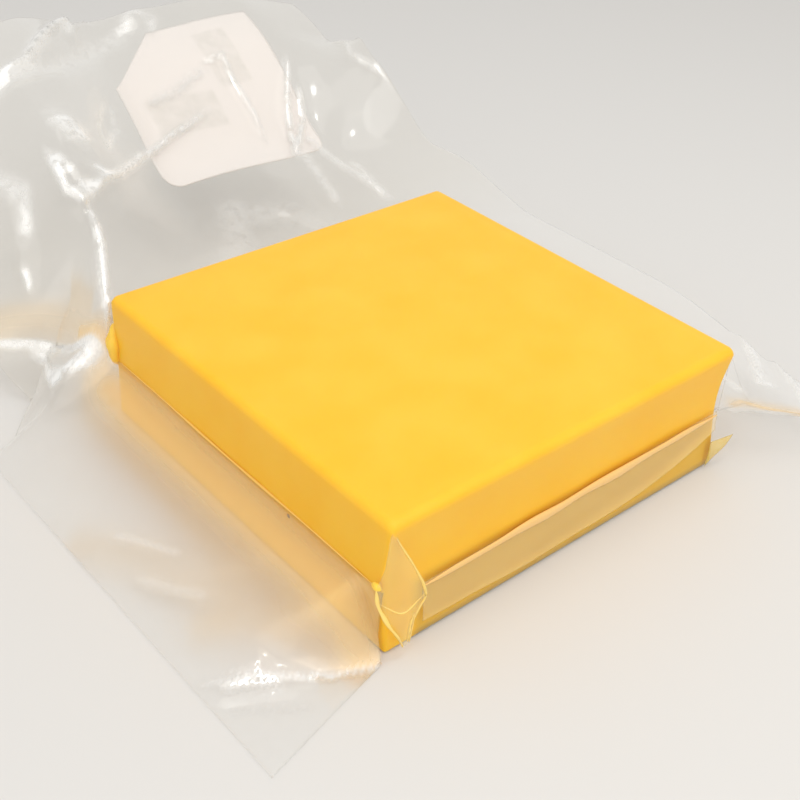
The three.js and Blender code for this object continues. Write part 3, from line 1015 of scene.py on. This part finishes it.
@dataclass
class LoosePouch:
    """The pouch's two fins and its tail: two layers of film that touch, in one sheet.

    Attributes:
        form: that the sheet follows.
        columns: faces across it.
        beside_rows: faces along it beside the block.
        tail_rows: faces along it behind the block.
        thickness: of both layers.
        lowest: the height that no crease goes below.
        beside_run: how far beside the block the creases are full.
        behind_run: how far behind it they are.
        tuck: how far the sheet reaches into the block.
    """

    form: FilmForm = field(default_factory=FilmForm)
    columns: int = 218
    beside_rows: int = 108
    tail_rows: int = 150
    thickness: float = 0.14
    lowest: float = 0.2
    beside_run: float = 6.0
    behind_run: float = 5.0
    tuck: float = 1.5

    def place(self, across: float, along: float) -> Vector:
        """Returns a share of the sheet's place, before its creases."""
        u, v = self.laid(across, along)
        return self.form.point(u, v)

    def laid(self, across: float, along: float) -> tuple[float, float]:
        """Returns a share of the sheet's place on the film laid flat."""
        fins = HALF + self.form.fin_width
        u = lerp(-fins, fins, across)
        rows = self.beside_rows + self.tail_rows
        share = self.beside_rows / rows
        front = self.form.front(u)
        if along < share:
            return u, lerp(front, HALF, along / share)
        return u, HALF + self.form.tail_length * (along - share) / (1 - share)

    def build(self, film: bpy.types.Material) -> None:
        """Builds the sheet, creases it and cuts away what the block fills."""
        bm = sheet(self.columns, self.beside_rows + self.tail_rows, self.place, self.laid)
        masks = [bm.verts.layers.float.new(mask.value) for mask in Mask]
        layer = bm.loops.layers.uv.active
        for vert in bm.verts:
            u, v = vert.link_loops[0][layer].uv
            # The masks paint whitened creases with highlights, and cheese oil with a reflection of the
            # cheese.
            for mask, streaks in zip(masks, (CREASE_WHITENING_AND_HIGHLIGHTS, OIL_AND_CHEESE_REFLECTION)):
                vert[mask] = min(1.0, sum(streak.share(u, v) for streak in streaks))
            lift = sum(shape.lift(u, v) for shape in (*CREASES, *DIMPLES))
            upward = vert.normal if vert.normal.z > 0 else -vert.normal
            if v < HALF:
                free = smoothstep(abs(u), HALF, HALF + self.beside_run)
            else:
                free = smoothstep(v, HALF, HALF + self.behind_run)
            vert.co += upward * lift * free
            vert.co.z = max(vert.co.z, self.lowest)
        rim = HALF - self.tuck
        inside = [face for face in bm.faces
                  if all(abs(loop[layer].uv.x) < rim and loop[layer].uv.y < rim for loop in face.loops)]
        bmesh.ops.delete(bm, geom=inside, context="FACES")
        finished("pouch_fins_and_tail", bm, film, Slot.FILM, POUCH, self.thickness)


@dataclass
class FoldedSeal:
    """The pouch's sealed end, folded down over the front face, with its roll of film on top.

    Attributes:
        width: from its fold down to its lower edge.
        climb: how far that edge climbs towards the right.
        climb_start: where it starts to, from the block's middle.
        slope: of the fold itself.
        end_rise: how far that edge climbs at the seal's left end.
        end_run: where it starts to and has, left of the block's middle.
        roll: half the depth of the roll on top.
        stand_off: from the block's face out to the seal.
        left: from the block's left side to the seal's end.
        right: from the block's right side to its other end.
        columns: faces across.
        rows: faces down.
        roll_height: the roll's height as a share of its depth.
        roll_steps: between the points of the roll's middle line.
        thickness: of the seal's wall.
    """

    width: float = 12.6
    climb: float = 10.0
    climb_start: float = 5.0
    slope: float = 0.02
    end_rise: float = 1.4
    end_run: tuple = (35, 52)
    roll: float = 0.6
    stand_off: float = 0.75
    left: float = 10.2
    right: float = 2.5
    columns: int = 110
    rows: int = 26
    roll_height: float = 2.4
    roll_steps: int = 24
    thickness: float = 0.2

    def face(self, z: float) -> float:
        """Returns where the block's front face is at a height."""
        return -HALF + SIDE_PINCH * math.sin(math.pi * clamp(z / BLOCK_HEIGHT, 0, 1))

    def foot(self, x: float) -> float:
        """Returns the height of the seal's lower edge."""
        climb = self.climb * (max(x - self.climb_start, 0.0) / HALF) ** 2
        end = self.end_rise * smoothstep(-x, *self.end_run)
        return SEAM_HEIGHT - self.width + climb + end + 0.3 * math.sin(x / 7)

    def top(self, x: float) -> float:
        """Returns the height of the fold that the seal hangs from."""
        return SEAM_HEIGHT - 0.4 + self.slope * x

    def place(self, across: float, along: float) -> Vector:
        """Returns the place of a share of the flap, from under the roll down to its edge."""
        x = lerp(self.left - HALF, HALF - self.right, across)
        z = lerp(self.top(x), self.foot(x), along)
        ripple = 0.12 * math.sin(x / 5.3 + 2.0 * along) * along
        ribs = 0.1 * math.sin(9 * along + 0.04 * x)
        return Vector((x, self.face(z) - self.stand_off - 0.2 * along + ripple + ribs, z))

    def roll_line(self, share: float) -> Vector:
        """Returns the place of a share of the roll's middle line."""
        x = lerp(self.left - HALF, HALF - self.right, share)
        z = self.top(x) - 0.8 + 0.1 * math.sin(x / 4.3)
        return Vector((x, self.face(z) - self.stand_off - 0.2 + 0.08 * math.sin(x / 3.1), z))

    def build(self, film: bpy.types.Material, roll: bpy.types.Material) -> None:
        """Builds the flap and its roll."""
        flap = sheet(self.columns, self.rows, self.place)
        finished("folded_seal", flap, film, Slot.FILM, POUCH, self.thickness)
        line = [self.roll_line(k / self.roll_steps) for k in range(self.roll_steps + 1)]
        finished("seal_roll", bead(line, self.roll, 16, self.roll_height), roll, Slot.FILM, POUCH)


@dataclass
class CornerEar:
    """The film's end fold at the near corner, a pocket laid round against the front face.

    Attributes:
        reach: how far it stands out at its widest.
        turn: the direction that it stands out in, in degrees from +X.
        root: where it starts on the block.
        heights: along its free edge, from the floor up.
        reaches: its reach at those heights, as shares.
        strip: points of the fold on the block's side, from the floor up.
        bulge: how far it swells out from flat.
        columns: faces across.
        rows: faces up.
        thickness: of its wall.
        rim: the radius of its free edge.
        lip: the radius of the lip that curls in it.
        hem: half the width of its yellow fold.
        line: the radius of the crease across it.
    """

    reach: float = 8.0
    turn: float = -28.0
    root: tuple = (1.5 - HALF, 1.2 - HALF)
    heights: tuple = (2.6, 6.3, 10.2, 15.0, 20.3, 26.0, 33.5)
    reaches: tuple = (0.6, 0.64, 0.72, 1.0, 0.83, 0.45, 0.02)
    strip: tuple = ((-52.2, -57.6, 2.2), (-54.0, -58.0, 6.5), (-56.0, -57.2, 10.5), (-57.3, -55.0, 15.0),
                    (-57.3, -54.0, 19.0), (-56.6, -55.6, 25.0), (-55.8, -56.0, 33.5))
    bulge: float = 1.2
    columns: int = 24
    rows: int = 44
    thickness: float = 0.2
    rim: float = 0.38
    lip: float = 0.42
    hem: float = 0.8
    line: float = 0.22

    def edge(self, share: float) -> Vector:
        """Returns the place of a share of the free edge, from the floor up."""
        at = clamp(share, 0.0, 1.0) * (len(self.heights) - 1)
        i = min(int(at), len(self.heights) - 2)
        step = smoothstep(at - i, -0.35, 1.35) if 0 < at < len(self.heights) - 1 else at - i
        out = self.reach * lerp(self.reaches[i], self.reaches[i + 1], step)
        angle = math.radians(self.turn)
        return Vector((self.root[0] + out * math.cos(angle), self.root[1] + out * math.sin(angle),
                       lerp(self.heights[i], self.heights[i + 1], at - i)))

    def fold(self, share: float) -> Vector:
        """Returns the place of a share of the fold on the block's side, from the floor up."""
        at = clamp(share, 0.0, 1.0) * (len(self.strip) - 1)
        i = min(int(at), len(self.strip) - 2)
        return Vector(self.strip[i]).lerp(Vector(self.strip[i + 1]), at - i)

    def place(self, across: float, along: float) -> Vector:
        """Returns the place of a share of the ear, from its fold outwards and upwards."""
        flat = self.fold(along).lerp(self.edge(along), across)
        height = math.sin(math.pi * clamp(along + 0.12, 0, 1))
        out = self.bulge * math.sin(math.pi * across) ** 0.8 * height
        crease = 0.5 * math.exp(-((along - 0.42 - 0.06 * math.sin(3 * across)) / 0.05) ** 2)
        lip = 0.9 * smoothstep(across, 0.8, 1.0) * smoothstep(along, 0.5, 0.1)
        away = out - crease * math.sin(math.pi * across) + lip
        return flat + Vector((-0.5, -0.87, 0.0)) * away

    def build(self, film: bpy.types.Material, bright: bpy.types.Material) -> None:
        """Builds the ear, its free edge, the lip that curls in it, its yellow fold and a crease."""
        ear = sheet(self.columns, self.rows, self.place)
        finished("corner_ear", ear, film, Slot.FILM, POUCH, self.thickness)
        free = [self.place(1.0, k / 10) for k in range(11)]
        finished("ear_free_edge", bead(free, self.rim), bright, Slot.FILM, POUCH)
        lip = [self.place(0.88 - 0.03 * k, 0.36 - 0.09 * k) for k in range(5)]
        finished("ear_lip", bead(lip, self.lip, seed=2.0), bright, Slot.FILM, POUCH)
        low = [Vector(p) + Vector((-0.3, -0.3, 0.0)) for p in self.strip[:5]]
        finished("ear_fold", bead(low, self.hem, flat=0.5, seed=1.0), bright, Slot.FILM, POUCH)
        middle = [self.place(k / 5, 0.52 - 0.10 * math.sin(math.pi * k / 5)) for k in range(6)]
        finished("ear_crease", bead(middle, self.line, seed=3.0), bright, Slot.FILM, POUCH)


@dataclass
class CornerTab:
    """The small end of film that sticks out at the foot of the front right corner.

    Attributes:
        corners: its near, outer, high and back corner.
        bulge: how far it swells out from flat.
        thickness: of its wall.
        columns: faces outwards.
        rows: faces up.
    """

    corners: tuple = ((51.6, -56.6, 1.2), (60.0, -57.0, 6.0), (61.2, -57.0, 7.6), (52.4, -56.4, 8.6))
    bulge: float = 0.9
    thickness: float = 0.06
    columns: int = 14
    rows: int = 10

    def place(self, across: float, along: float) -> Vector:
        """Returns the place of a share of the tab."""
        near, out, high, back = (Vector(corner) for corner in self.corners)
        flat = near.lerp(out, across).lerp(back.lerp(high, across), along)
        return flat - Vector((0, self.bulge * math.sin(math.pi * across) * math.sin(math.pi * along), 0))

    def build(self, film: bpy.types.Material) -> None:
        """Builds the tab."""
        tab = sheet(self.columns, self.rows, self.place)
        finished("corner_tab", tab, film, Slot.FILM, POUCH, self.thickness)


@dataclass
class SideSeam:
    """The thin rolled line where the loose film leaves the block's left side.

    Attributes:
        radius: of the line.
        end: how far it runs to each side of the block's middle.
        points: along it.
    """

    radius: float = 0.4
    end: float = 53.0
    points: int = 11

    def build(self, film: bpy.types.Material) -> None:
        """Builds the line."""
        line = [Vector((0.1 * math.sin(k) - HALF + 0.4, lerp(self.end, -self.end, k / (self.points - 1)),
                        SEAM_HEIGHT + 0.5)) for k in range(self.points)]
        finished("side_seam", bead(line, self.radius), film, Slot.FILM, POUCH)


@dataclass
class CornerWeb:
    """A web of film that runs down from one of the block's upright edges to the loose film.

    Attributes:
        name: the piece's name.
        sides: the signs of the block's corner that it starts from.
        turn: the direction that it runs out in, in degrees from +X.
        reach: how far out it runs.
        height: above the loose film, at the block.
        form: of the loose film.
        thickness: of its wall.
        tuck: how far inside the block's corner it starts.
        columns: faces outwards.
        rows: faces up.
    """

    name: str
    sides: tuple
    turn: float
    reach: float
    height: float
    form: FilmForm = field(default_factory=FilmForm)
    thickness: float = 0.25
    tuck: float = 1.2
    columns: int = 24
    rows: int = 12

    def place(self, across: float, along: float) -> Vector:
        """Returns the place of a share of the web, outwards and upwards."""
        start = HALF - self.tuck
        out = self.reach * across
        angle = math.radians(self.turn)
        u = self.sides[0] * start + out * math.cos(angle)
        v = self.sides[1] * start + out * math.sin(angle)
        crest = self.height * (1 - across) ** 1.4
        place = self.form.point(u, v)
        place.z += lerp(-0.1, crest, along)
        return place

    def build(self, film: bpy.types.Material) -> None:
        """Builds the web."""
        web = sheet(self.columns, self.rows, self.place)
        finished(self.name, web, film, Slot.FILM, POUCH, self.thickness)


@dataclass
class PriceLabel:
    """The plain label stuck to the underside of the tail.

    Attributes:
        form: of the film that it is stuck to.
        width: across the tail.
        length: along the tail.
        start: from the block's back to its near edge.
        left: from the block's middle line to its left edge.
        corner: the radius of its near corners.
        fold: how much of each side its turned-under far left corner takes.
        thickness: of the paper.
        gap: between the film and the paper.
        segments: faces across and along.
        finish: of the paper.
    """

    form: FilmForm = field(default_factory=FilmForm)
    width: float = 60.0
    length: float = 58.0
    start: float = 55.0
    left: float = -5.0
    corner: float = 5.0
    fold: float = 22.0
    thickness: float = 0.3
    gap: float = 0.45
    segments: int = 60
    finish: PaperFinish = field(default_factory=PaperFinish)

    def laid(self, across: float, along: float) -> tuple[float, float]:
        """Returns a share of the label as a distance across and along it."""
        u = self.width * across
        edge = min(u, self.width - u)
        in_corner = max(self.corner - edge, 0.0)
        near = min(self.corner - math.sqrt(self.corner ** 2 - in_corner ** 2), self.corner - 0.3)
        far = self.length - max(self.fold - u, 0.0)
        return u, lerp(near, far, along)

    def place(self, across: float, along: float) -> Vector:
        """Returns the place of a share of the label, under the film."""
        u, v = self.laid(across, along)
        u, v = u + self.left, v + HALF + self.start
        point = self.form.point(u, v)
        normal = (self.form.point(u + 0.1, v) - point).cross(self.form.point(u, v + 0.1) - point)
        return point - normal.normalized() * (self.form.film / 2 + self.gap + self.thickness / 2)

    def build(self) -> None:
        """Builds the label."""
        bm = sheet(self.segments, self.segments, self.place,
                   lambda a, b: tuple(d / self.width for d in self.laid(a, b)))
        finished("plain_label", bm, self.finish.material(), Slot.PAPER, LABEL, self.thickness)


CRUMBS = (
    ("crumb_back_left", (-55.3, 55.6, 20.6), (2.3, 2.3, 5.6), 0.4),
    ("crumb_near", (-57.0, -53.6, 19.0), (0.7, 1.2, 0.9), 2.1),
)


@dataclass
class Studio:
    """The pale floor, the soft lights and the camera.

    Attributes:
        floor_size: across the floor, in metres.
        floor_colour: of the floor.
        camera_place: in metres.
        right: the direction that the picture's right side points in.
        down: the direction that its lower side points in.
        lens: the focal length for a sensor 36 mm wide.
        world: the strength of the light from all round.
        world_colour: of that light.
        lamps: each lamp's name, place, size in metres and power in watts.
    """

    floor_size: float = 6.0
    floor_colour: tuple = (0.69, 0.675, 0.65, 1.0)
    camera_place: tuple = (-0.17522, -0.18862, 0.19069)
    right: tuple = (0.76298, -0.64476, 0.0464)
    down: tuple = (-0.34015, -0.46147, -0.81936)
    lens: float = 54.22
    world: float = 0.74
    world_colour: tuple = (1.0, 0.99, 0.975, 1.0)
    lamps: tuple = (
        ("front_softbox", (0.05, -0.5, 0.5), 0.5, 1.2),
        ("left_wall_light", (-0.9, -0.3, 0.8), 1.2, 3.0),
        ("broad_softbox", (0.04, -0.1, 0.6), 0.5, 0.6),
        ("overhead_strip", (-0.1, -0.15, 0.95), 0.09, 0.6),
    )

    def floor(self) -> None:
        """Lays the floor."""
        made = bpy.data.materials.new("StudioFloor")
        made.use_nodes = True
        face = made.node_tree.nodes["Principled BSDF"]
        face.inputs["Base Color"].default_value = self.floor_colour
        face.inputs["Roughness"].default_value = 0.7
        face.inputs["Specular IOR Level"].default_value = 0.2
        bm = bmesh.new()
        bmesh.ops.create_grid(bm, x_segments=4, y_segments=4, size=self.floor_size / 2)
        mesh = bpy.data.meshes.new("studio_floor")
        bm.to_mesh(mesh)
        bm.free()
        mesh.materials.append(made)
        plane = in_scene("studio_floor", mesh)

    def lamp(self, name: str, place: tuple, size: float, watts: float) -> None:
        """Hangs a square soft light that faces the block."""
        data = bpy.data.lights.new(name, "AREA")
        data.size = size
        data.energy = watts
        lamp = in_scene(name, data)
        lamp.location = place
        lamp.rotation_euler = (-Vector(place)).to_track_quat("-Z", "Y").to_euler()

    def lights(self) -> None:
        """Sets the world's soft light and the lamps."""
        world = bpy.data.worlds.new("Studio")
        bpy.context.scene.world = world
        world.use_nodes = True
        backdrop = world.node_tree.nodes["Background"]
        backdrop.inputs["Color"].default_value = self.world_colour
        backdrop.inputs["Strength"].default_value = self.world
        for name, place, size, watts in self.lamps:
            self.lamp(name, place, size, watts)

    def camera(self) -> None:
        """Places the camera at the photograph's angle."""
        data = bpy.data.cameras.new("product_camera")
        data.lens = self.lens
        data.sensor_width = 36.0
        right, down = Vector(self.right).normalized(), Vector(self.down).normalized()
        back = -right.cross(down)
        turn = Matrix((right, back.cross(right), back)).transposed()
        camera = in_scene("product_camera", data)
        camera.matrix_world = Matrix.Translation(self.camera_place) @ turn.to_4x4()
        bpy.context.scene.camera = camera

    def build(self) -> None:
        """Builds the whole studio."""
        self.floor()
        self.lights()
        self.camera()
        bpy.context.scene.view_settings.view_transform = "Standard"


def opaque_film(name: str, milk: tuple) -> FilmFinish:
    """Returns the finish of film that is rolled up or folded over until nothing shows through."""
    return FilmFinish(name, haze=1.0, milk=milk, metallic=0.0, mirror=0.0, steep=0.0)


def main() -> None:
    """Builds the block, its pouch and the studio in order."""
    logging.basicConfig(level=logging.INFO, format="%(message)s")
    wrinkles = wrinkle_group()
    clinging = FilmFinish("ClingingFilm", haze=0.0, clouds=0.004, mirror=0.004, steep=0.15,
                          wrinkle_strength=0.1, tint=CLEAR, shade=CLEAR)
    # The slack film's tail tint is painted shade, and its masks paint highlights and a reflection of the
    # cheese.
    slack = FilmFinish("SlackFilm", marked=True, haze=0.03, mirror=0.025, metallic=0.4,
                       tint=(1.0, 1.0, 0.998, 1.0), shade=(0.997, 0.996, 0.994, 1.0),
                       tail=(0.982, 0.976, 0.962, 1.0))
    sealed = FilmFinish("SealedFilm", haze=0.22, clouds=0.01, milk=srgb(255, 226, 160), metallic=0.0,
                        mirror=0.0, steep=0.05, roughness=0.3, wrinkle_strength=0.0, tint=CLEAR,
                        shade=CLEAR)
    rolled = opaque_film("RolledFilm", srgb(243, 197, 122))
    oily = FilmFinish("OilyFilm", haze=0.12, clouds=0.03, milk=srgb(255, 240, 180), metallic=0.0,
                      mirror=0.0, steep=0.03, wrinkle_strength=0.15, tint=CLEAR, shade=CLEAR)
    tabbed = FilmFinish("OiledTab", haze=0.45, milk=srgb(236, 205, 100), metallic=0.0, mirror=0.0,
                        steep=0.1)
    bright = opaque_film("FilmEdge", srgb(249, 214, 118))
    pale = opaque_film("PaleFilmEdge", srgb(243, 195, 92))
    film = clinging.material(wrinkles)
    loose = slack.material(wrinkles)
    block = CheddarBlock()
    block.build()
    block.wrap(film)
    LoosePouch().build(loose)
    FoldedSeal().build(sealed.material(wrinkles), rolled.material(wrinkles))
    yellowed = oily.material(wrinkles)
    CornerEar().build(yellowed, bright.material(wrinkles))
    CornerTab().build(tabbed.material(wrinkles))
    SideSeam().build(pale.material(wrinkles))
    pressed = CheeseFinish("PressedCheese", colour=(1.0, 0.6, 0.07, 1.0),
                           pale=(1.0, 0.66, 0.1, 1.0)).material()
    for name, centre, radii, seed in CRUMBS:
        finished(name, crumb(Vector(centre), radii, seed), pressed, Slot.CHEESE, POUCH)
    CornerWeb("web_back_right", (1, 1), 48, 26, 9).build(loose)
    CornerWeb("web_front_right", (1, -1), -8, 13, 17).build(loose)
    PriceLabel().build()
    Studio().build()


if __name__ == "__main__":
    main()
